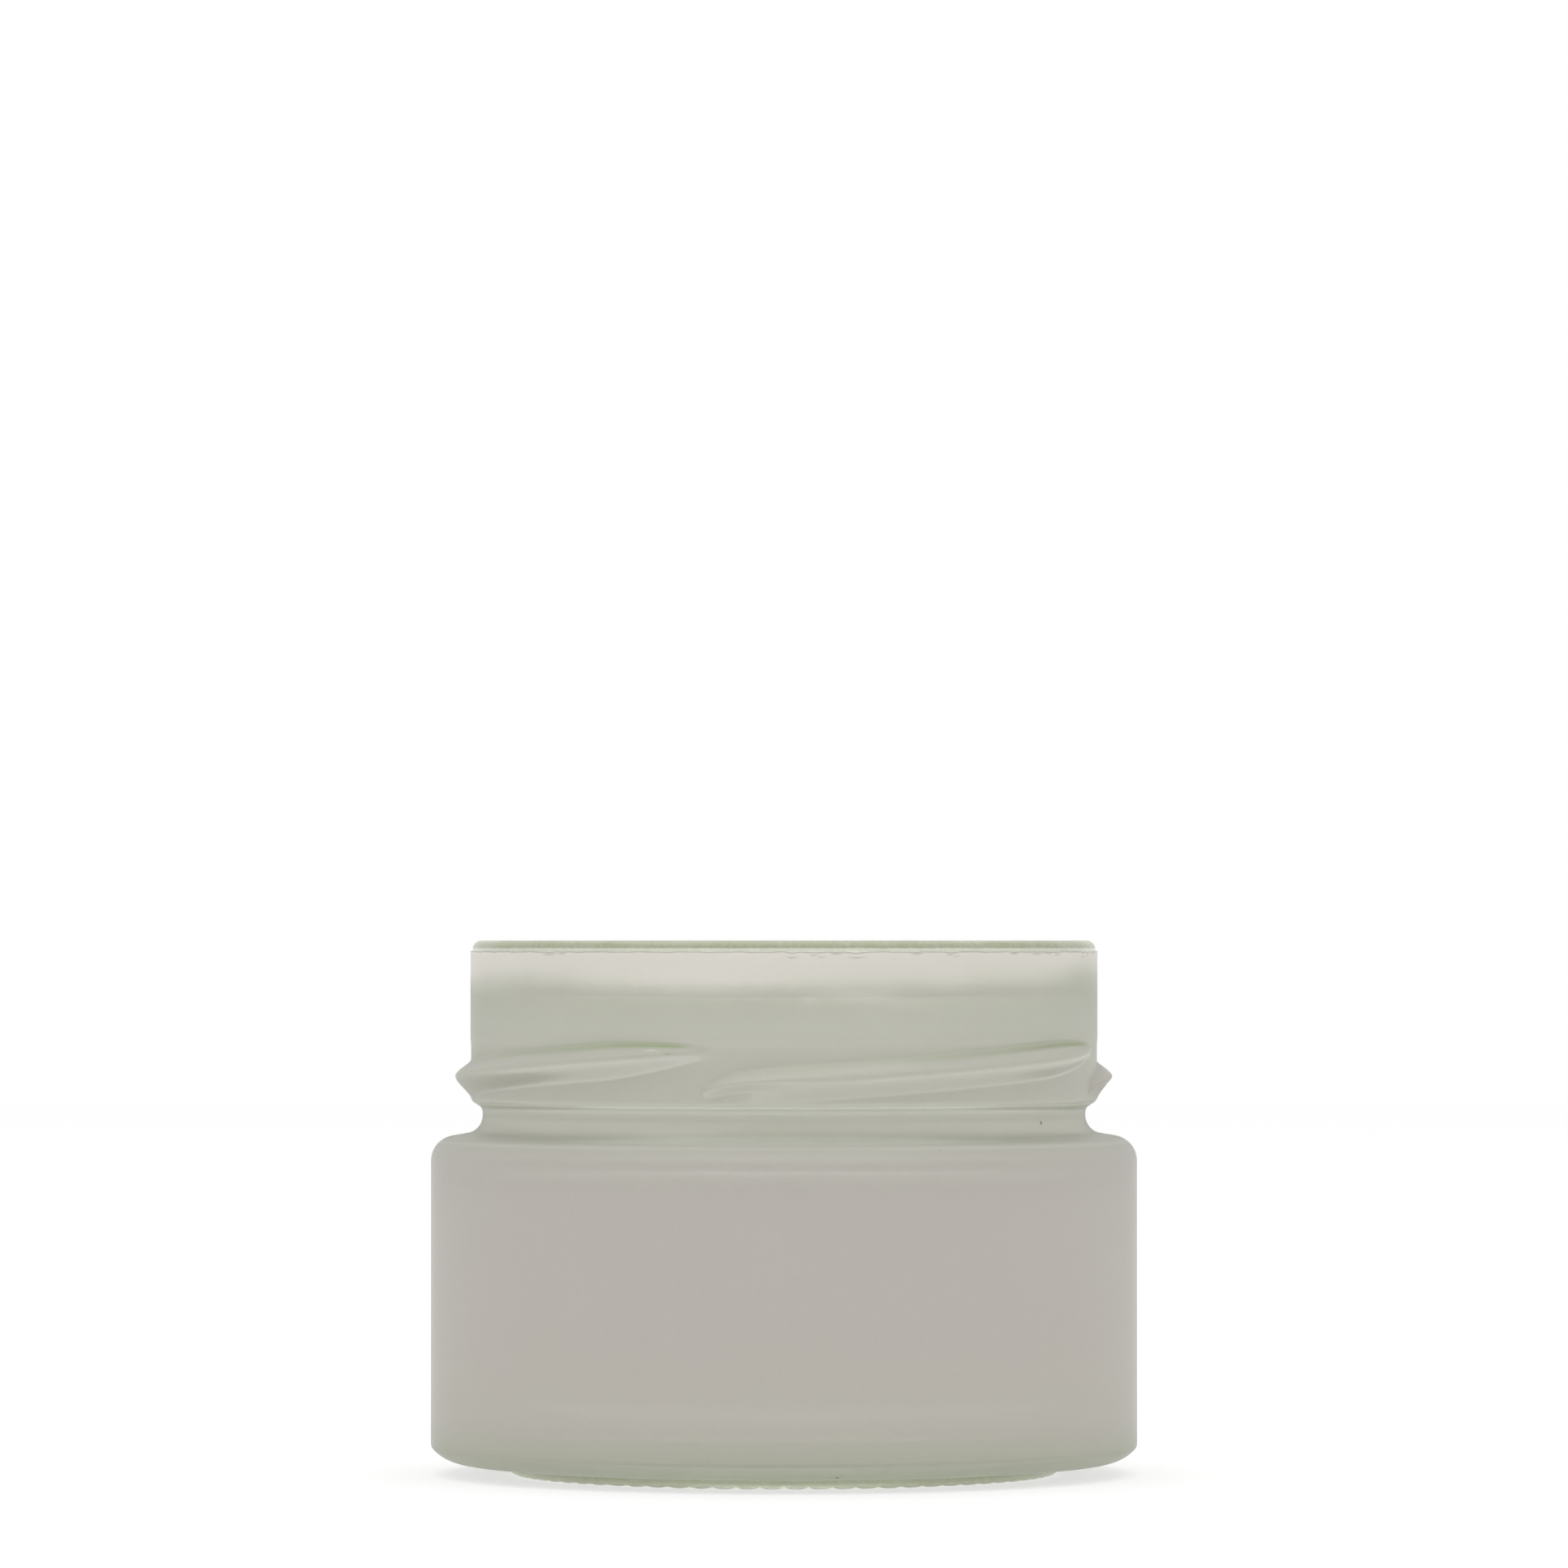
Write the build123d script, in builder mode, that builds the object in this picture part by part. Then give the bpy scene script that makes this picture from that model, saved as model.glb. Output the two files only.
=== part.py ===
from build123d import *
import math
import os

# Wide-mouth round cream jar of moulded glass, open, for a 66 mm four-start twist-off cap.
# Its outside carries a thin sprayed coat of matt lacquer, and its lip and foot are bare glass.
# Millimetres, +Z up, origin on the axis in the plane that the jar stands on.

# --- Whole jar ---
overall_height = 53.1
body_radius = 35.1
coat_thickness = 0.08

# --- Foot: a knurled ring round a raised middle ---
foot_outer_radius = 27.4
foot_inner_radius = 24.4
foot_height = 1.22
foot_round = 0.85
punt_radius = 20.5
punt_height = 1.9
knurl_count = 72
knurl_depth = 0.27
knurl_notch_width = 1.9

# --- Heel: two tangent rounds that blend the underside into the wall ---
heel_under_height = 1.29
heel_chamfer = 1.49
heel_under_round = 4.2
heel_side_round = 0.88

# --- Shoulder: rounded edge, slightly rising deck and a cove into the groove ---
shoulder_edge_height = 33.21
shoulder_rise = 0.9
shoulder_round = 2.4
cove_round = 1.9

# --- Neck and lip, measured on bare glass ---
groove_radius = 29.95
bead_height = 36.59
bead_rise = 0.61
bead_round = 0.6
bead_root_round = 0.5
neck_radius = 31.25 - coat_thickness
neck_taper = 0.06
neck_taper_bottom = 42.7
neck_taper_top = 43.5
lip_radius = 31.05
lip_height = 1.05
lip_step_height = 0.05
lip_outer_round = 0.9
lip_inner_round = 0.9

# --- Cavity ---
mouth_radius = 28.55
bore_radius = 28.3
bore_top = 47.2
mouth_bottom = 48.4
ledge_round = 3.0
inner_shoulder_height = 32.49
inner_shoulder_round = 2.7
inner_shoulder_drop = 1.49
cavity_radius = 32.4
cavity_top_round = 3.5
cavity_floor = 4.9
cavity_floor_round = 4.5

# --- Cap threads: four right-handed lugs, rounded at the low end and run out at the high end ---
thread_starts = 4
thread_lead = 13.8
thread_span = 97.0
thread_first_angle = 75.0
thread_start_height = 38.8
thread_height = 1.63
thread_below = 1.95
thread_above = 1.75
thread_sink = 0.35
thread_end_width = 0.3
thread_nose = 7.0
thread_runout = 26.0
thread_stations = [0, 1, 2.5, 4.5, 7, 14, 24, 35, 46, 58, 71, 77, 83, 89, 94, 97]

os.makedirs("parts", exist_ok=True)


def closed_outline(corners):
    """Closed line through corners of (radius, height, rounding)."""
    points = [(radius, height) for radius, height, rounding in corners]
    roundings = [rounding for radius, height, rounding in corners]
    FilletPolyline(*points, radius=roundings, close=True)


def radial_plane(angle):
    """Plane through the axis: local x runs outward at this angle, local y runs up."""
    outward = (math.cos(math.radians(angle)), math.sin(math.radians(angle)), 0)
    normal = (math.sin(math.radians(angle)), -math.cos(math.radians(angle)), 0)
    return Plane(origin=(0, 0, 0), x_dir=outward, z_dir=normal)


def thread_swell(turn):
    """Share of the full thread height at this many degrees from the low end."""
    nose = math.sqrt(1 - max(0, 1 - turn / thread_nose) ** 2)
    left = max(0, thread_span - turn) / thread_runout
    runout = math.sin(math.pi / 2 * min(1, left))
    return min(nose, runout)


def cap_thread(skin):
    """One thread, its surface moved outward by skin, with its root sunk in the neck."""
    with BuildPart() as thread:
        for turn in thread_stations:
            swell = thread_swell(turn)
            middle = thread_start_height + thread_lead * turn / 360
            root = neck_radius + skin - thread_sink
            crest = root + (thread_height + thread_sink) * (0.1 + 0.9 * swell)
            width = thread_end_width + (1 - thread_end_width) * swell
            below = (thread_below + skin) * width
            above = (thread_above + skin) * width
            flank = root + 0.52 * (crest - root)
            with BuildSketch(radial_plane(thread_first_angle + turn)):
                with BuildLine():
                    Spline(
                        (root, middle - below),
                        (flank, middle - 0.5 * below),
                        (crest, middle),
                        (flank, middle + 0.5 * above),
                        (root, middle + above),
                    )
                    Line((root, middle + above), (root, middle - below))
                make_face()
        loft()
    return thread.part


# Corners of the outside, from the middle of the underside round to the lip.
heel_corner_radius = body_radius - heel_chamfer
neck_foot_radius = neck_radius - neck_taper
outside = [
    (0, punt_height, 0),
    (punt_radius, punt_height, 6),
    (foot_inner_radius, foot_height, 0),
    (foot_inner_radius, 0, 0.5),
    (foot_outer_radius, 0, foot_round),
    (foot_outer_radius, foot_height, 0),
    (heel_corner_radius, heel_under_height, heel_under_round),
    (body_radius, heel_under_height + heel_chamfer, heel_side_round),
    (body_radius, shoulder_edge_height, shoulder_round),
    (groove_radius, shoulder_edge_height + shoulder_rise, cove_round),
    (groove_radius, bead_height, bead_root_round),
    (neck_foot_radius, bead_height + bead_rise, bead_round),
    (neck_foot_radius, neck_taper_bottom, 0),
    (neck_radius, neck_taper_top, 0),
    (neck_radius, overall_height - lip_height, 0),
    (lip_radius, overall_height - lip_height + lip_step_height, 0),
    (lip_radius, overall_height, lip_outer_round),
]

# Corners of the inside, from the lip down to the middle of the floor.
inside = [
    (mouth_radius, overall_height, lip_inner_round),
    (mouth_radius, mouth_bottom, ledge_round),
    (bore_radius, bore_top, ledge_round),
    (bore_radius, inner_shoulder_height, inner_shoulder_round),
    (cavity_radius, inner_shoulder_height - inner_shoulder_drop, cavity_top_round),
    (cavity_radius, cavity_floor, cavity_floor_round),
    (0, cavity_floor, 0),
]

# --- Tools shared by the parts ---
glass_thread = cap_thread(0)
coat_thread = cap_thread(coat_thickness)

with BuildPart() as knurl_notch:
    with BuildSketch(Plane.YZ.offset(foot_inner_radius - 0.5)):
        with BuildLine():
            left = (-knurl_notch_width / 2, 0)
            right = (knurl_notch_width / 2, 0)
            TangentArc(left, (0, knurl_depth), tangent=(1, 0))
            TangentArc(right, (0, knurl_depth), tangent=(-1, 0))
            Polyline(left, (left[0], -1), (right[0], -1), right)
        make_face()
    extrude(amount=foot_outer_radius - foot_inner_radius + 0.7)

with BuildPart() as solid_jar:
    with BuildSketch(Plane.XZ):
        with BuildLine():
            closed_outline(outside + [(0, overall_height, 0)])
        make_face()
    revolve(axis=Axis.Z)
    with PolarLocations(0, thread_starts):
        add(glass_thread)

# --- Glass jar ---
with BuildPart() as glass_jar:
    with BuildSketch(Plane.XZ):
        with BuildLine():
            closed_outline(outside + inside)
        make_face()
    revolve(axis=Axis.Z)
    with PolarLocations(0, thread_starts):
        add(glass_thread)
    with PolarLocations(0, knurl_count):
        add(knurl_notch.part, mode=Mode.SUBTRACT)

glass_jar.part.label = "glass_jar"
export_step(glass_jar.part, "parts/glass_jar.step")

# --- Lacquer coat: from the lip down to the underside, just outside the foot ---
coat_inner_radius = foot_outer_radius + 0.5
coat_top = overall_height - lip_height

with BuildPart() as frost_coat:
    with BuildSketch(Plane.XZ):
        with BuildLine():
            closed_outline(outside + [(0, overall_height, 0)])
        make_face()
        offset(amount=coat_thickness)
        with Locations((coat_inner_radius, 0)):
            Rectangle(body_radius, coat_top, align=(Align.MIN, Align.MIN), mode=Mode.INTERSECT)
    revolve(axis=Axis.Z)
    with PolarLocations(0, thread_starts):
        add(coat_thread)
    add(solid_jar.part, mode=Mode.SUBTRACT)

frost_coat.part.label = "frost_coat"
export_step(frost_coat.part, "parts/frost_coat.step")
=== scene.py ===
import math
import random

import bpy
import numpy as np
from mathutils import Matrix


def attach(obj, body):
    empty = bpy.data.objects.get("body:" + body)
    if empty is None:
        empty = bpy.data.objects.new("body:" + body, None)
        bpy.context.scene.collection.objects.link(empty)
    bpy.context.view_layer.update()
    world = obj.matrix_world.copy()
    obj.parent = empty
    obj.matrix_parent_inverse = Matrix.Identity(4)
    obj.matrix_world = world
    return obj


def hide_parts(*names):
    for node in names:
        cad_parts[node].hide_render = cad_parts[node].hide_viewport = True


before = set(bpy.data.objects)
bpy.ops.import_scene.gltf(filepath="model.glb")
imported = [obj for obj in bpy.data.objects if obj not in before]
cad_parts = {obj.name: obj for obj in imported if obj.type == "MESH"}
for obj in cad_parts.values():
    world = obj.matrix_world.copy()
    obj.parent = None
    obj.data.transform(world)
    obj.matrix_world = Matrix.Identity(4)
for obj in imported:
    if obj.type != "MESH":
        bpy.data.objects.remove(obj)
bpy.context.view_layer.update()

# The open cream jar: moulded glass under a thin coat of matt milky lacquer, standing on a white table.
# Lengths are in millimetres in the CAD model's frame, and MM turns them into metres.

MM = 0.001

# --- Camera and stage ---
CAMERA_DISTANCE = 900
CAMERA_HEIGHT = 53.0
CAMERA_PITCH = math.radians(1.0)
CAMERA_LENS = 207.1
FLOOR_SIZE = 4000
SOFTBOX_SIZE = 1200
SOFTBOX_HEIGHT = 1000
SOFTBOX_WATTS = 5
TABLE_GREY = 0.3
TABLE_GLOW = 0.62
WORLD_STRENGTH = 1.0

# --- Glass outline, as (radius, height, rounding) of each corner ---
HEIGHT = 53.1
LIP_HEIGHT = 1.05
COAT_TOP = HEIGHT - LIP_HEIGHT
OUTSIDE = [
    (0, 1.9, 0),
    (20.5, 1.9, 6),
    (24.4, 1.22, 0),
    (24.4, 0, 0.5),
    (27.4, 0, 0.85),
    (27.4, 1.22, 0),
    (33.61, 1.29, 4.2),
    (35.1, 2.78, 0.88),
    (35.1, 33.21, 2.4),
    (29.95, 34.11, 1.9),
    (29.95, 36.5, 0.9),
    (31.11, 37.2, 0.6),
    (31.11, 42.7, 0),
    (31.17, 43.5, 0),
    (31.17, COAT_TOP, 0),
    (31.05, COAT_TOP + 0.05, 0),
    (31.05, HEIGHT, 0.9),
]
INSIDE = [
    (28.55, HEIGHT, 0.9),
    (28.55, 48.4, 3.0),
    (28.3, 47.2, 3.0),
    (28.3, 32.49, 2.7),
    (32.4, 31.0, 3.5),
    (32.4, 4.9, 4.5),
    (0, 4.9, 0),
]
NECK_RADIUS = 31.17

# --- Cap threads ---
THREAD_STARTS = 4
THREAD_LEAD = 13.8
THREAD_SPAN = 92.0
THREAD_FIRST_ANGLE = 75.0
THREAD_START_HEIGHT = 38.8
THREAD_HEIGHT = 1.63
THREAD_BELOW = 2.05
THREAD_ABOVE = 1.75
THREAD_NOSE = 20.0
THREAD_RISE_SPAN = 12.0
THREAD_FADE_SPAN = 24.0
THREAD_RUNOUT = 24.0
THREAD_END_WIDTH = 0.3
THREAD_DIP = 0.6
THREAD_DIP_SPAN = 9.0
THREAD_ZONE = (37.0, 44.6)
THREAD_ROW_STEP = 0.16
NECK_MIN_RADIUS = 29.9

# --- Painted shade along the threads' upper root by degrees from the low end, painted shade and light on their crests, and the mould seam's nicks with a painted glint ---
ROOT_SHADE_TURNS = [0, 3, 30, 60, 78, 86, 91]
ROOT_SHADE_SHARES = [0, 0.3, 0.4, 0.6, 0.9, 1, 0]
CREST_SHADE = 0.25
CREST_LIGHT = 0.55
SEAM_ANGLES = [69.5, 249.5]
SEAM_HEIGHT = 42.15
SEAM_NICK_RISE = 0.12
SEAM_GLINT_RISE = 0.05
SEAM_GLINT_TINT = 0.6

# --- Foot knurl ---
KNURL_COUNT = 72
KNURL_DEPTH = 0.27
KNURL_CREST = 0.35
KNURL_MIDDLE_RADIUS = 26
FOOT_RING = (24, 27.5)
FOOT_TOP = 0.6

# --- Lacquer coat ---
COAT_GAP = 0.03
COAT_THICKNESS = 0.08
COAT_FOOT_RADIUS = 27.9
COAT_FOOT_HEIGHT = 1.22

# --- The coat's top edge: rows by distance below it, close together in the part that the chips shift ---
BAND_LOBE_ROWS = (7.3, 6.9, 6.5, 6.1, 5.7, 5.3, 4.9, 4.5, 4.1, 3.6, 3.0, 2.2, 1.2)
CHIP_ROWS = (0.9, 0.8, 0.7, 0.6, 0.5, 0.4, 0.3, 0.2, 0.12, 0.06, 0)
EDGE_BAND = 0.9
# Width of the painted shadow line under the coat's top edge.
EDGE_SHADOW_LINE = 0.16
EDGE_DROP = 0.035
EDGE_WAVES = [(0.02, 41, 0), (0.015, 97, 1)]
BACK_THINNING_START = 37.7

# --- Nicks in the coat's top edge, as (angle, half width, distance below the edge) in degrees and mm ---
NICKS = [
    (223.0, 2.4, 0.26),
    (226.2, 1.2, 0.2),
    (271.4, 1.2, 0.56),
    (275.2, 0.9, 0.34),
    (276.6, 0.8, 0.52),
    (279.4, 1.5, 0.2),
    (283.0, 2.2, 0.56),
    (294.4, 1.4, 0.2),
    (301.0, 1.1, 0.26),
    (302.3, 0.7, 0.44),
]
RANDOM_NICKS = 34
RANDOM_NICK_ANGLES = (310, 570)
RANDOM_NICK_WIDTHS = (0.6, 2.2)
RANDOM_NICK_DEPTHS = (0.1, 0.6)
# Painted shadow along the bottom of each nick: its half height and strength.
NICK_SHADOW_LINE = 0.07
NICK_SHADOW_SHARE = 0.8
CHIP_DEPTH = 0.22

# --- Lobes that carry the painted band of light under the lip further down, as (angle, height, half width in degrees, half height, size) ---
BAND_LOBES = [
    (274.6, 47.3, 1.6, 0.5, 1.2),
    (284.0, 47.5, 7.0, 0.8, 1.2),
    (292.0, 46.9, 5.5, 0.35, 1.2),
    (46.0, 47.4, 6.0, 0.8, 1.4),
    (161.0, 47.2, 4.0, 0.6, 1.2),
]

COLUMNS_PER_KNURL = 7
COLUMNS = KNURL_COUNT * COLUMNS_PER_KNURL


def rounded(corners, step=0.3):
    """Points along an outline with its corners rounded by arcs."""
    points = [corners[0][:2]]
    for before, corner, after in zip(corners, corners[1:], corners[2:]):
        here = np.array(corner[:2], float)
        inward = np.array(before[:2]) - here
        outward = np.array(after[:2]) - here
        inward /= np.linalg.norm(inward)
        outward /= np.linalg.norm(outward)
        if not corner[2]:
            points.append(tuple(here))
            continue
        half = math.acos(np.clip(inward @ outward, -1, 1)) / 2
        middle = (inward + outward) / np.linalg.norm(inward + outward)
        centre = here + middle * corner[2] / math.sin(half)
        turn = math.pi - 2 * half
        pieces = max(2, math.ceil(turn * corner[2] / step), math.ceil(turn / math.radians(15)))
        start = here + inward * corner[2] / math.tan(half) - centre
        side = math.copysign(1, inward[0] * outward[1] - inward[1] * outward[0])
        for i in range(pieces + 1):
            a = -side * turn * i / pieces
            x = start[0] * math.cos(a) - start[1] * math.sin(a)
            z = start[0] * math.sin(a) + start[1] * math.cos(a)
            points.append((centre[0] + x, centre[1] + z))
    points.append(corners[-1][:2])
    return points


def with_rows(points, low, high, step):
    """An outline that runs upward, with evenly spaced rows added between two heights."""
    out = [points[0]]
    for a, b in zip(points, points[1:]):
        rows = np.arange(max(low, a[1]), min(high, b[1]), step)[1:]
        out += [(a[0] + (b[0] - a[0]) * (z - a[1]) / (b[1] - a[1]), z) for z in rows]
        out.append(b)
    return out


def end_width(swell):
    """Share of a thread's full width, where swell goes from 0 at its tip to 1."""
    return THREAD_END_WIDTH + (1 - THREAD_END_WIDTH) * swell


def thread_shape(angle, z):
    """Rise of the cap threads out of the neck, and the amount of painted light and shade on them: above
    zero a green-dark shade in the upper root and a softer one on the crest, and at each mould seam a
    darkened nick; below zero a painted highlight just under the root and a painted glint beside each
    nick.
    """
    rise = np.zeros(np.broadcast(angle, z).shape)
    root = rise.copy()
    for i in range(THREAD_STARTS):
        turn = (angle - THREAD_FIRST_ANGLE - 360 / THREAD_STARTS * i + 20) % 360 - 20
        started = turn > 0
        nose = np.sqrt(1 - np.clip(1 - turn / THREAD_NOSE, 0, 1) ** 2)
        lift_above = np.sqrt(1 - np.clip(1 - turn / THREAD_RISE_SPAN, 0, 1) ** 2) ** 1.3
        lift_below = np.sin(math.pi / 2 * np.clip(turn / THREAD_FADE_SPAN, 0, 1)) ** 2
        runout = np.sin(math.pi / 2 * np.clip((THREAD_SPAN - turn) / THREAD_RUNOUT, 0, 1))
        dip = THREAD_DIP * np.clip(1 - turn / THREAD_DIP_SPAN, 0, 1) ** 2
        up = z - THREAD_START_HEIGHT - THREAD_LEAD * turn / 360 + dip
        wide_above = THREAD_ABOVE * end_width(np.minimum(nose, runout))
        wide_below = THREAD_BELOW * end_width(runout)
        across = np.where(up > 0, up / wide_above, -up / wide_below)
        lift = lift_above + (lift_below - lift_above) * np.clip((0.3 - up) / 0.9, 0, 1)
        section = np.cos(math.pi / 2 * np.clip(across, 0, 1)) ** np.where(up > 0, 1.6, 1.5)
        rise = np.maximum(rise, THREAD_HEIGHT * np.minimum(lift, runout) * section * started)
        climb = up / wide_above
        # Painted shade: a green-dark line in the upper root and a softer shade on the crest, less a
        # painted highlight between them.
        line = np.exp(-(((climb - 0.72) / np.where(climb > 0.72, 0.42, 0.2)) ** 2))
        shade = np.exp(-(((climb - 0.1) / 0.25) ** 2))
        light = np.exp(-(((climb - 0.46) / 0.1) ** 2))
        along = np.interp(turn, ROOT_SHADE_TURNS, ROOT_SHADE_SHARES)
        root = root + along * (line + CREST_SHADE * shade - CREST_LIGHT * light)
    # Each mould seam: a raised nick, darkened, and beside it a small ridge with a painted glint.
    for seam in SEAM_ANGLES:
        spot = np.exp(-(((angle - seam) / 0.8) ** 2) - ((z - SEAM_HEIGHT) / 0.2) ** 2)
        glint = np.exp(-(((angle - seam + 3.2) / 1.3) ** 2) - ((z - SEAM_HEIGHT - 0.3) / 0.09) ** 2)
        rise += SEAM_NICK_RISE * spot + SEAM_GLINT_RISE * glint
        root = np.maximum(root, spot) - SEAM_GLINT_TINT * glint
    return rise, root


def knurl_floor(angle):
    """Height of the foot's knurled underside, for an array of angles in degrees."""
    pitch = 2 * math.pi * KNURL_MIDDLE_RADIUS / KNURL_COUNT
    from_crest = np.abs((angle / 360 * KNURL_COUNT) % 1 - 0.5) * pitch
    slope = np.clip(from_crest - KNURL_CREST / 2, 0, None)
    half = (pitch - KNURL_CREST) / 2
    return KNURL_DEPTH * (slope / half) ** 2


def lathe(name, outline, shape, materials, slot_of_row):
    """A closed mesh turned from an outline, its points moved by shape(angle, radius, height)."""
    angle = np.arange(COLUMNS) * 360 / COLUMNS
    r = np.array([p[0] for p in outline], float)[:, None] + 0 * angle
    z = np.array([p[1] for p in outline], float)[:, None] + 0 * angle
    r, z, tints = shape(angle[None, :] + 0 * r, r, z)
    a = np.radians(angle)
    grid = np.stack([r * np.cos(a), r * np.sin(a), z], axis=-1)
    rows = len(outline)
    on_axis = [i for i in (0, rows - 1) if outline[i][0] == 0]
    first = 1 if 0 in on_axis else 0
    last = rows - 1 if rows - 1 in on_axis else rows
    verts = list(grid[first:last].reshape(-1, 3) * MM)
    tints = {key: list(value[first:last].reshape(-1)) for key, value in tints.items()}
    quads = []
    slots = []
    span = last - first
    closed = not on_axis
    for i in range(span if closed else span - 1):
        j = (i + 1) % span
        slots += [slot_of_row(i)] * COLUMNS
        for c in range(COLUMNS):
            d = (c + 1) % COLUMNS
            quads.append((i * COLUMNS + c, i * COLUMNS + d, j * COLUMNS + d, j * COLUMNS + c))
    for i in on_axis:
        verts.append(grid[i, 0] * MM)
        for values in tints.values():
            values.append(0)
        tip = len(verts) - 1
        ring = 0 if i == 0 else span - 1
        slots += [0] * COLUMNS
        for c in range(COLUMNS):
            d = (c + 1) % COLUMNS
            edge = (ring * COLUMNS + d, ring * COLUMNS + c)
            quads.append((tip, *edge) if i == 0 else (tip, *edge[::-1]))
    mesh = bpy.data.meshes.new(name)
    mesh.from_pydata([tuple(v) for v in verts], [], quads)
    for key, values in tints.items():
        mesh.attributes.new(key, "FLOAT", "POINT").data.foreach_set("value", np.array(values, "f"))
    for material in materials:
        mesh.materials.append(material)
    mesh.polygons.foreach_set("material_index", np.array(slots, "i"))
    mesh.update()
    mesh.shade_smooth()
    piece = bpy.data.objects.new(name, mesh)
    bpy.context.scene.collection.objects.link(piece)
    return piece


def neck_share(r, z):
    """1 on the outside of the neck, where the threads are, and 0 elsewhere."""
    return (r > NECK_MIN_RADIUS) * (z > THREAD_ZONE[0]) * (z < THREAD_ZONE[1])


def shape_glass(angle, r, z):
    """The glass with its knurled foot and cap threads."""
    under = (z < FOOT_TOP) & (r > FOOT_RING[0]) & (r < FOOT_RING[1])
    z = np.where(under, np.maximum(z, knurl_floor(angle)), z)
    rise = thread_shape(angle, z)[0]
    return r + neck_share(r, z) * rise, z, {}


def all_nicks():
    """The nicks at the front, and random ones round the rest of the edge."""
    draw = random.Random(7)
    back = []
    for _ in range(RANDOM_NICKS):
        angle = draw.uniform(*RANDOM_NICK_ANGLES) % 360
        half_width = draw.uniform(*RANDOM_NICK_WIDTHS)
        back.append((angle, half_width, draw.uniform(*RANDOM_NICK_DEPTHS)))
    return NICKS + back


def shape_coat(angle, r, z):
    """The film over the threads, with its chipped edge and the amounts that its material reads."""
    rise, root = thread_shape(angle, z)
    neck = neck_share(r, z)
    below = COAT_TOP - z
    drop = EDGE_DROP
    for size, waves, phase in EDGE_WAVES:
        drop = drop + size * np.sin(np.radians(angle) * waves + phase)
    # A painted shadow line under the coat's top edge, where its step casts shade, and along the bottom of
    # each nick.
    edge_shade = np.clip(1 - below / EDGE_SHADOW_LINE, 0, 1)
    for centre, half_width, deep in all_nicks():
        across = np.clip(1 - np.abs((angle - centre + 180) % 360 - 180) / half_width, 0, 1)
        drop = drop + CHIP_DEPTH * deep * across
        edge_shade = np.maximum(edge_shade, NICK_SHADOW_SHARE * across**0.5 * np.exp(-(((below - deep) / NICK_SHADOW_LINE) ** 2)))
    z = z - drop * np.clip(1 - below / EDGE_BAND, 0, 1)
    # Lobes that carry the painted band of light under the lip further down.
    band_lobe = 0 * z
    for centre, height, wide, tall, size in BAND_LOBES:
        band_lobe = band_lobe + size * np.exp(-(((angle - centre) / wide) ** 2) - ((z - height) / tall) ** 2)
    return r + neck * rise, z, {"thread_light_and_shade": neck * root, "edge_shadow": edge_shade, "band_lobe": band_lobe}


def offset_outline(points, distance):
    """The outline moved outward along its normals."""
    p = np.array(points, float)
    tangent = np.gradient(p, axis=0)
    tangent /= np.linalg.norm(tangent, axis=1)[:, None]
    normal = np.stack([tangent[:, 1], -tangent[:, 0]], axis=1)
    return [tuple(q) for q in p + normal * distance]


def glass_outline():
    """The glass from the middle of its underside, up to the lip and down to the middle of the floor."""
    outside = rounded(OUTSIDE + INSIDE[:1])
    neck = next(i for i, p in enumerate(outside) if p[1] > THREAD_ZONE[0])
    lip = next(i for i, p in enumerate(outside) if p[1] > COAT_TOP)
    outside = outside[:neck] + with_rows(outside[neck:lip], *THREAD_ZONE, THREAD_ROW_STEP) + outside[lip:]
    inside = rounded(OUTSIDE[-1:] + INSIDE)
    return outside[:-1] + inside[1:]


def coat_outline():
    """The film's outer face upward and its coarser inner face downward, and the number of outer rows."""
    outside = glass_outline()
    turn = next(i for i, p in enumerate(outside) if p[1] > COAT_TOP)
    side = [p for p in outside[:turn] if p[0] > COAT_FOOT_RADIUS and p[1] < COAT_TOP - 0.01]
    edge = [(NECK_RADIUS, COAT_TOP - below) for below in BAND_LOBE_ROWS + CHIP_ROWS]
    side = [(COAT_FOOT_RADIUS, COAT_FOOT_HEIGHT)] + side
    skin = offset_outline(side + edge, COAT_THICKNESS)
    plain_edge = [(NECK_RADIUS, COAT_TOP - EDGE_BAND), (NECK_RADIUS, COAT_TOP)]
    back = offset_outline(side + plain_edge, COAT_GAP)
    thin = (BACK_THINNING_START, THREAD_ZONE[1])
    back = [p for i, p in enumerate(back) if i % 2 == 0 or not thin[0] < p[1] < thin[1]]
    return skin + back[::-1], len(skin)


# --- Camera ---
camera = bpy.data.objects.new("camera", bpy.data.cameras.new("camera"))
bpy.context.scene.collection.objects.link(camera)
camera.data.lens = CAMERA_LENS
camera.data.sensor_width = 36
camera.data.clip_start = 0.05
camera.data.clip_end = 20
camera.location = (0, -CAMERA_DISTANCE * MM, CAMERA_HEIGHT * MM)
camera.rotation_euler = (math.pi / 2 + CAMERA_PITCH, 0, 0)
bpy.context.scene.camera = camera
bpy.context.scene.view_settings.view_transform = "Standard"

# Light bounces many times inside thick glass.
bpy.context.scene.cycles.max_bounces = 32
bpy.context.scene.cycles.transmission_bounces = 32
bpy.context.scene.cycles.diffuse_bounces = 8
bpy.context.scene.cycles.transparent_max_bounces = 32


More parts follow.
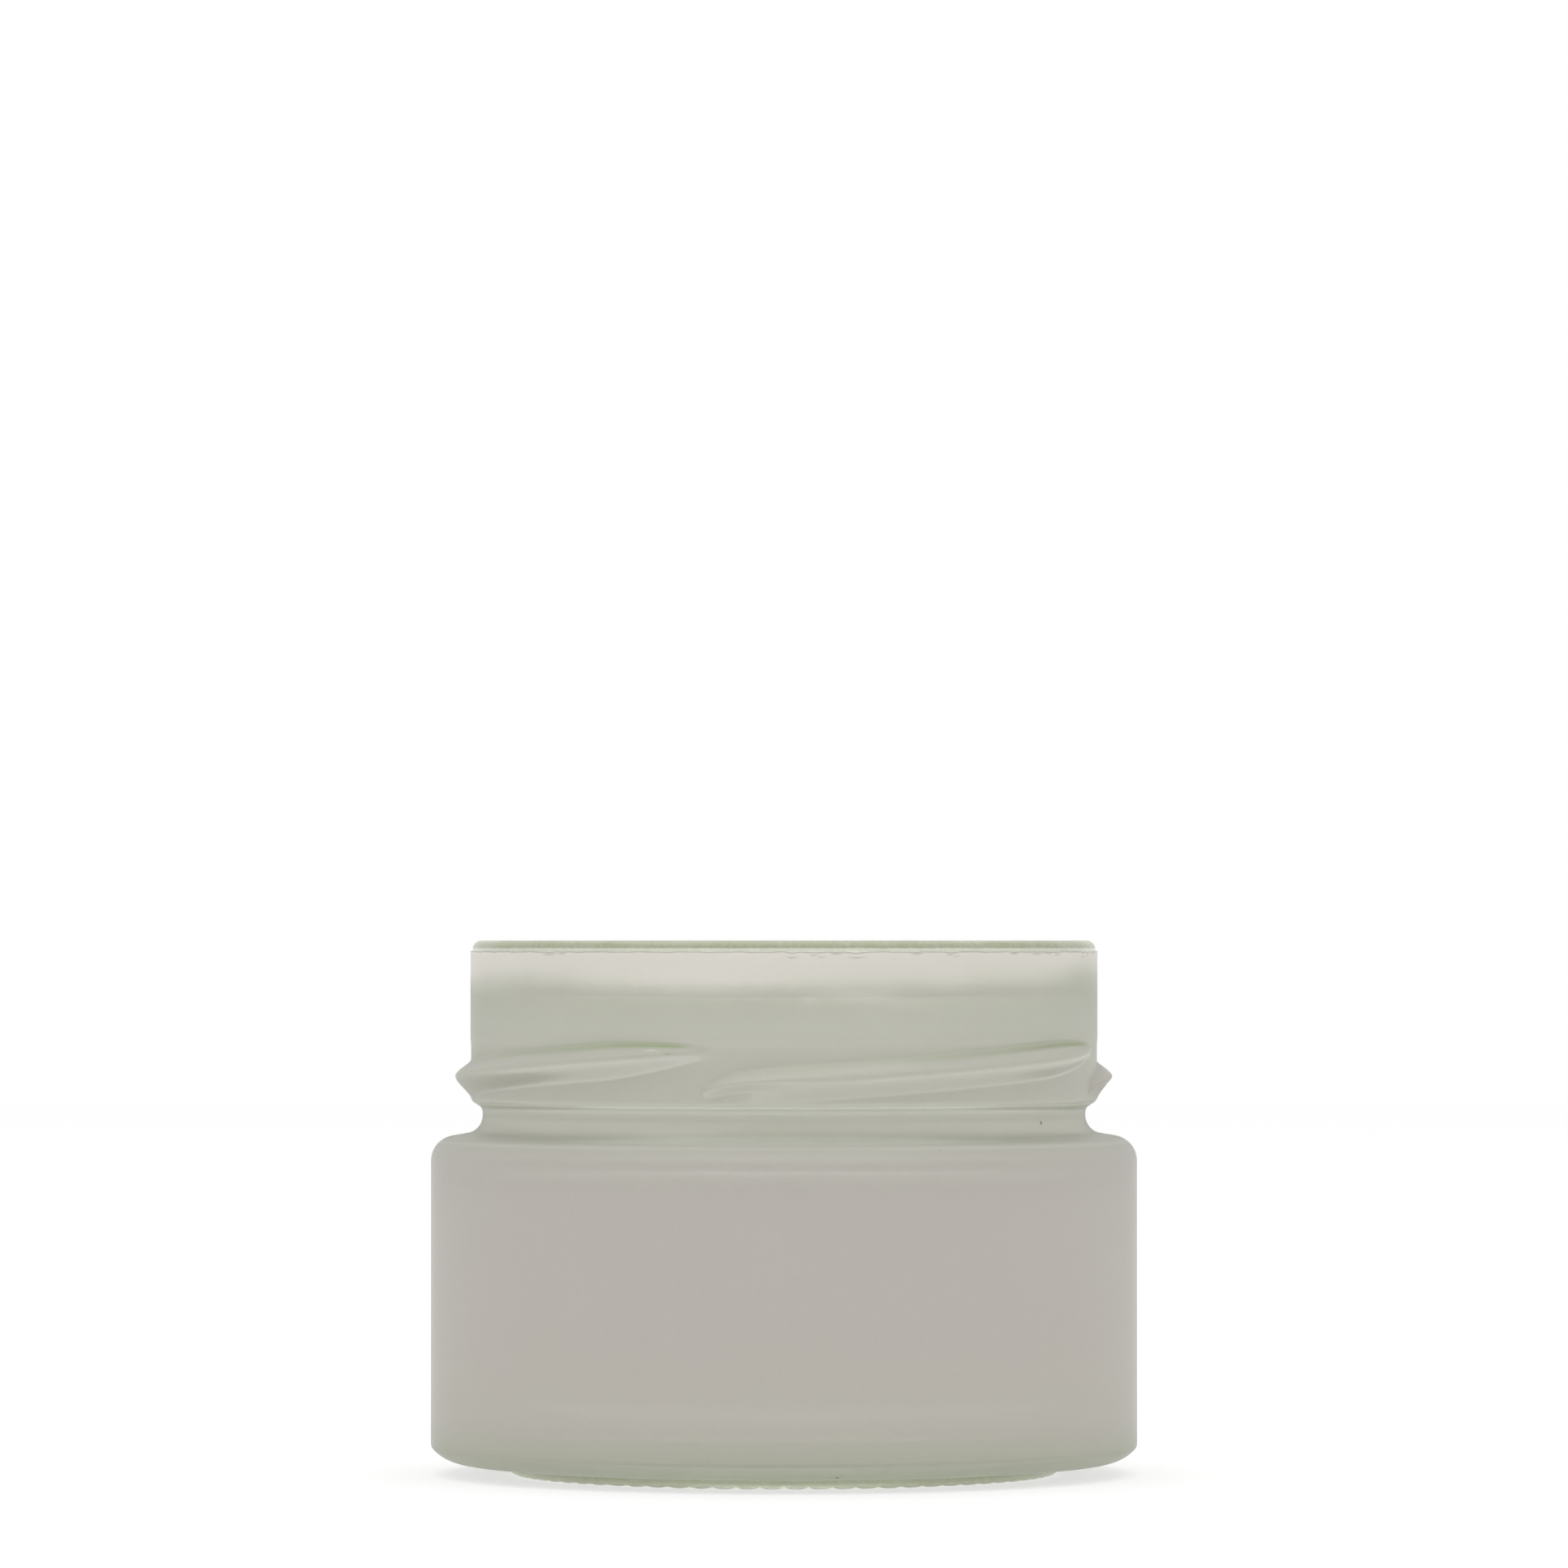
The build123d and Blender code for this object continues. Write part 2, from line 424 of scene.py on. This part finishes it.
class Nodes:
    """A material's node tree, with short ways to add and link nodes."""

    def __init__(self, name):
        self.material = bpy.data.materials.new(name)
        self.material.use_nodes = True
        self.tree = self.material.node_tree
        self.tree.nodes.clear()
        self.out = self.add("OutputMaterial")

    def add(self, kind, operation=None, **inputs):
        node = self.tree.nodes.new("ShaderNode" + kind)
        if operation:
            node.operation = operation
        for key, value in inputs.items():
            self.set(node, key.replace("_", " "), value)
        return node

    def set(self, node, key, value):
        """Link or set an input, found by its name or, as i0, i1 and so on, by its number."""
        socket = node.inputs[int(key[1:])] if key[0] == "i" and key[1:].isdigit() else node.inputs[key]
        if isinstance(value, bpy.types.NodeSocket):
            self.tree.links.new(value, socket)
        elif isinstance(value, bpy.types.Node):
            self.tree.links.new(value.outputs[0], socket)
        else:
            socket.default_value = value


def height_in_mm(n):
    """Height above the table in millimetres, from the object's own coordinates."""
    place = n.add("TexCoord").outputs["Object"]
    split = n.add("SeparateXYZ", Vector=place)
    return place, n.add("Math", "MULTIPLY", i0=split.outputs["Z"], i1=1 / MM).outputs[0]


def noise(n, place, size_mm, detail=3, roughness=0.5, offset=0):
    """Noise with features of about this size, from 0 to 1."""
    moved = n.add("VectorMath", "ADD", i0=place, i1=(offset, offset, 0))
    node = n.add("TexNoise", Vector=moved, Scale=1 / (size_mm * MM), Detail=detail, Roughness=roughness)
    return node.outputs["Fac"]


def ramp(n, value, low, high, stops, smooth=True):
    """A colour ramp whose stops are given as (value, colour) between low and high."""
    share = n.add("MapRange", Value=value, From_Min=low, From_Max=high)
    node = n.add("ValToRGB", Fac=share)
    node.color_ramp.interpolation = "B_SPLINE" if smooth else "LINEAR"
    while len(node.color_ramp.elements) < len(stops):
        node.color_ramp.elements.new(0.5)
    for element, (at, colour) in zip(node.color_ramp.elements, stops):
        element.position = (at - low) / (high - low)
        element.color = (*colour, 1)
    return node.outputs["Color"]


def grey(value):
    """A neutral colour."""
    return (value, value, value)


def blend(n, share, a, b, kind="MIX"):
    """Colour a where share is 0 and b where it is 1."""
    node = n.add("Mix")
    node.data_type = "RGBA"
    node.blend_type = kind
    n.set(node, "i0", share)
    n.set(node, "i6", a)
    n.set(node, "i7", b)
    return node.outputs[2]


def between(n, value, low, high, to_low=0.0, to_high=1.0):
    """A smooth step from to_low at low to to_high at high."""
    node = n.add("MapRange", Value=value, From_Min=low, From_Max=high, To_Min=to_low, To_Max=to_high)
    node.interpolation_type = "SMOOTHSTEP"
    return node.outputs[0]


def glass_material():
    """Clear green glass, hazed where it is bare outside: on the lip and on the knurled foot."""
    n = Nodes("green_glass")
    place, z = height_in_mm(n)
    cloud = noise(n, place, 4, 4)
    fine = noise(n, place, 0.5, 4, 0.6)
    bump = n.add("Bump", Strength=0.3, Distance=0.02 * MM, Height=noise(n, place, 2.5, 2))
    shader = n.add("BsdfPrincipled", Base_Color=(0.97, 0.99, 0.96, 1), IOR=1.52, Normal=bump)
    n.set(shader, "Transmission Weight", 1)
    lip = between(n, z, COAT_TOP - 0.5, COAT_TOP - 0.3)
    foot = between(n, z, 1.3, 0.9)
    bare = n.add("Math", "MAXIMUM", i0=lip, i1=foot)
    n.set(shader, "Roughness", between(n, bare, 0, 1, 0.02, 0.18))
    green = blend(n, between(n, cloud, 0.35, 0.65), (0.42, 0.44, 0.29, 1), (0.47, 0.49, 0.36, 1))
    light = between(n, z, COAT_TOP + 0.36, COAT_TOP + 0.24)
    haze_colour = blend(n, light, green, (0.80, 0.80, 0.69, 1))
    haze_colour = blend(n, between(n, z, 1.4, 1.3), haze_colour, (0.68, 0.70, 0.52, 1))
    haze = n.add("BsdfPrincipled", Base_Color=haze_colour, Roughness=0.35, Normal=bump)
    amount = n.add("Math", "MULTIPLY", i0=bare, i1=between(n, fine, 0.2, 0.8, 0.55, 0.65))
    n.set(n.out, "Surface", n.add("MixShader", i0=amount, i1=shader, i2=haze))
    n.set(n.out, "Volume", n.add("VolumeAbsorption", Color=(0.55, 0.75, 0.45, 1), Density=50))
    return n.material


# Colour of the coat by height in millimetres, with painted light and shade in it, and how much of the
# glass behind it shows through.
COAT_COLOURS_AND_PAINTED_LIGHT = [
    # Painted shade: the heel darker and greener, over the green glass of the thick base.
    (0.9, (0.56, 0.58, 0.44)),
    (2.2, (0.60, 0.60, 0.50)),
    (5.0, (0.655, 0.615, 0.56)),
    (16.0, (0.64, 0.59, 0.555)),
    (31.5, (0.645, 0.60, 0.565)),
    # Painted shade: darker over the shoulder's deck, toward the corner of the groove.
    (32.6, (0.62, 0.59, 0.54)),
    (33.5, (0.575, 0.555, 0.505)),
    # Painted light: the hollow groove between the shoulder and the bead much lighter.
    (34.3, (0.84, 0.81, 0.735)),
    (35.3, (0.88, 0.85, 0.77)),
    (36.5, (0.75, 0.73, 0.655)),
    (37.2, (0.68, 0.66, 0.59)),
    (38.0, (0.66, 0.63, 0.57)),
    (42.0, (0.66, 0.63, 0.57)),
    # Painted light: lighter upward into a white band under the lip, the glow of light coming in through
    # the open mouth.
    (45.5, (0.685, 0.66, 0.60)),
    (47.2, (0.71, 0.695, 0.61)),
    (48.9, (0.745, 0.725, 0.65)),
    (50.0, (0.82, 0.78, 0.715)),
    (52.0, (0.85, 0.80, 0.75)),
]
COAT_CLEARNESS = [
    (0.9, 0.30),
    (3.0, 0.12),
    (8.0, 0.07),
    (31.0, 0.07),
    (34.0, 0.30),
    (36.0, 0.28),
    (36.9, 0.10),
    (38.0, 0.16),
    (42.0, 0.18),
    (44.5, 0.32),
    (48.5, 0.32),
    (50.5, 0.2),
    (52.0, 0.18),
]
# Painted highlights: pale lines along the shoulder's edge and under the bead, as (height, half width,
# share).
PAINTED_HIGHLIGHT_LINES = [(33.12, 0.32, 0.2), (36.93, 0.2, 0.95)]


def lacquer_material():
    """Matt milky spray lacquer, thin and green over the neck; its white band under the lip is painted
    light, and the heel is darker and greener with painted shade over the green glass.
    """
    n = Nodes("milky_lacquer")
    place, z = height_in_mm(n)
    broad = noise(n, place, 34, 1, 0.4, 0.37)
    runs = noise(n, n.add("VectorMath", "MULTIPLY", i0=place, i1=(1, 1, 0.45)), 7, 3)
    fine = noise(n, place, 0.35, 3, 0.6)
    # The painted band of light under the lip gets a wobbling lower edge and lobes: noise and the band's
    # lobes warp the height that the colour ramp reads.
    band_wobble = n.add("Math", "MULTIPLY_ADD", i0=broad, i1=5.0, i2=-2.5)
    band_wobble = n.add("Math", "SUBTRACT", i0=band_wobble, i1=0.8)
    band_wobble = n.add("Math", "MULTIPLY_ADD", i0=runs, i1=1.6, i2=band_wobble)
    near_top = between(n, z, 44, 50)
    band_lobe = n.add("Attribute")
    band_lobe.attribute_name = "band_lobe"
    lobed_height = n.add("Math", "ADD", i0=z, i1=band_lobe.outputs["Fac"])
    warped = n.add("Math", "MULTIPLY_ADD", i0=band_wobble, i1=near_top, i2=lobed_height)
    colour = ramp(n, warped, 0, HEIGHT, COAT_COLOURS_AND_PAINTED_LIGHT)
    colour = blend(n, between(n, runs, 0.3, 0.7, 0, 0.5), colour, (0.985, 1.0, 0.98, 1), "MULTIPLY")
    colour = blend(n, between(n, fine, 0.3, 0.7, 0, 0.6), colour, (0.975, 0.975, 0.975, 1), "MULTIPLY")
    # Painted highlights on the shoulder's edge and under the bead.
    for height, half_width, share in PAINTED_HIGHLIGHT_LINES:
        away = n.add("Math", "ABSOLUTE", i0=n.add("Math", "SUBTRACT", i0=z, i1=height))
        colour = blend(n, between(n, away, half_width, 0, 0, share), colour, (0.97, 0.95, 0.88, 1))
    # Painted shade, green-dark, where the threads' attribute is above zero, deepest where it is
    # strongest; painted highlights where it is below zero.
    root = n.add("Attribute")
    root.attribute_name = "thread_light_and_shade"
    tint = root.outputs["Fac"]
    colour = blend(n, between(n, tint, 0, 1, 0, 0.85), colour, (0.50, 0.55, 0.38, 1))
    colour = blend(n, between(n, tint, 0.6, 1, 0, 0.8), colour, (0.80, 0.84, 0.62, 1), "MULTIPLY")
    colour = blend(n, between(n, tint, 0, -0.5, 0, 0.7), colour, (1, 1, 0.96, 1))
    # Painted shadow: a dark green line under the coat's top edge and along the bottom of each nick.
    edge = n.add("Attribute")
    edge.attribute_name = "edge_shadow"
    colour = blend(n, between(n, edge.outputs["Fac"], 0, 1, 0, 0.85), colour, (0.22, 0.25, 0.17, 1))
    colour = blend(n, specks(n, place), colour, (0.16, 0.17, 0.11, 1))
    grain = n.add("Bump", Strength=0.35, Distance=0.02 * MM, Height=fine)
    relief = n.add("Bump", Strength=0.5, Distance=0.05 * MM, Height=runs, Normal=grain)
    shader = n.add("BsdfPrincipled", Base_Color=colour, Normal=relief)
    n.set(shader, "Roughness", between(n, fine, 0.2, 0.8, 0.42, 0.56))
    n.set(shader, "Sheen Weight", 0.8)
    n.set(shader, "Sheen Roughness", 0.18)
    n.set(shader, "Coat Weight", 0.3)
    n.set(shader, "Coat Roughness", 0.25)
    through = n.add("BsdfTranslucent", Color=colour, Normal=relief)
    milk = n.add("MixShader", i0=between(n, warped, 47, 50.5, 0.35, 0.15), i1=shader, i2=through)
    clear = n.add("BsdfRefraction", Color=(0.96, 0.97, 0.95, 1), Roughness=0.4, IOR=1.3, Normal=relief)
    clearness = ramp(n, warped, 0, HEIGHT, [(at, grey(share)) for at, share in COAT_CLEARNESS])
    n.set(n.out, "Surface", n.add("MixShader", i0=clearness, i1=milk, i2=clear))
    return n.material


def specks(n, place):
    """A few dust specks under the lacquer, each about a third of a millimetre across."""
    cells = n.add("TexVoronoi", Vector=place, Scale=1 / (5 * MM))
    dots = between(n, cells.outputs["Distance"], 0.05, 0.025)
    chance = n.add("SeparateColor", Color=cells.outputs["Color"])
    few = n.add("Math", "LESS_THAN", i0=chance, i1=0.1)
    return n.add("Math", "MULTIPLY", i0=dots, i1=few)


def lacquer_back_material():
    """The film's inner face, against the glass: it lets all light on to the outer face."""
    n = Nodes("lacquer_back")
    n.set(n.out, "Surface", n.add("BsdfTransparent", Color=(1, 1, 1, 1)))
    return n.material


def floor_material():
    """A matt white table that glows a little, so that it stays white around the jar."""
    n = Nodes("white_table")
    shader = n.add("BsdfPrincipled", Base_Color=(*grey(TABLE_GREY), 1), Roughness=0.9)
    n.set(shader, "Emission Color", (1, 1, 1, 1))
    n.set(shader, "Emission Strength", TABLE_GLOW)
    n.set(n.out, "Surface", shader)
    return n.material


def make_stage():
    """The table, a softbox straight above it and an even white studio."""
    half = FLOOR_SIZE / 2 * MM
    mesh = bpy.data.meshes.new("table")
    corners = [(-half, -half, 0), (half, -half, 0), (half, half, 0), (-half, half, 0)]
    mesh.from_pydata(corners, [], [(0, 1, 2, 3)])
    table = bpy.data.objects.new("table", mesh)
    bpy.context.scene.collection.objects.link(table)
    mesh.materials.append(floor_material())
    softbox = bpy.data.objects.new("softbox", bpy.data.lights.new("softbox", "AREA"))
    softbox.data.shape = "SQUARE"
    softbox.data.size = SOFTBOX_SIZE * MM
    softbox.data.energy = SOFTBOX_WATTS
    softbox.location = (0, 0, SOFTBOX_HEIGHT * MM)
    bpy.context.scene.collection.objects.link(softbox)
    world = bpy.data.worlds.new("studio")
    bpy.context.scene.world = world
    world.use_nodes = True
    background = world.node_tree.nodes["Background"]
    background.inputs["Color"].default_value = (1, 1, 1, 1)
    background.inputs["Strength"].default_value = WORLD_STRENGTH


make_stage()

glass = lathe("moulded_glass", glass_outline(), shape_glass, [glass_material()], lambda row: 0)
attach(glass, "root")
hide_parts("glass_jar")

coat_line, skin_rows = coat_outline()
coat_materials = [lacquer_material(), lacquer_back_material()]
back_rows = range(skin_rows, len(coat_line) - 1)
coat = lathe("lacquer_film", coat_line, shape_coat, coat_materials, lambda row: int(row in back_rows))
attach(coat, "root")
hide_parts("frost_coat")
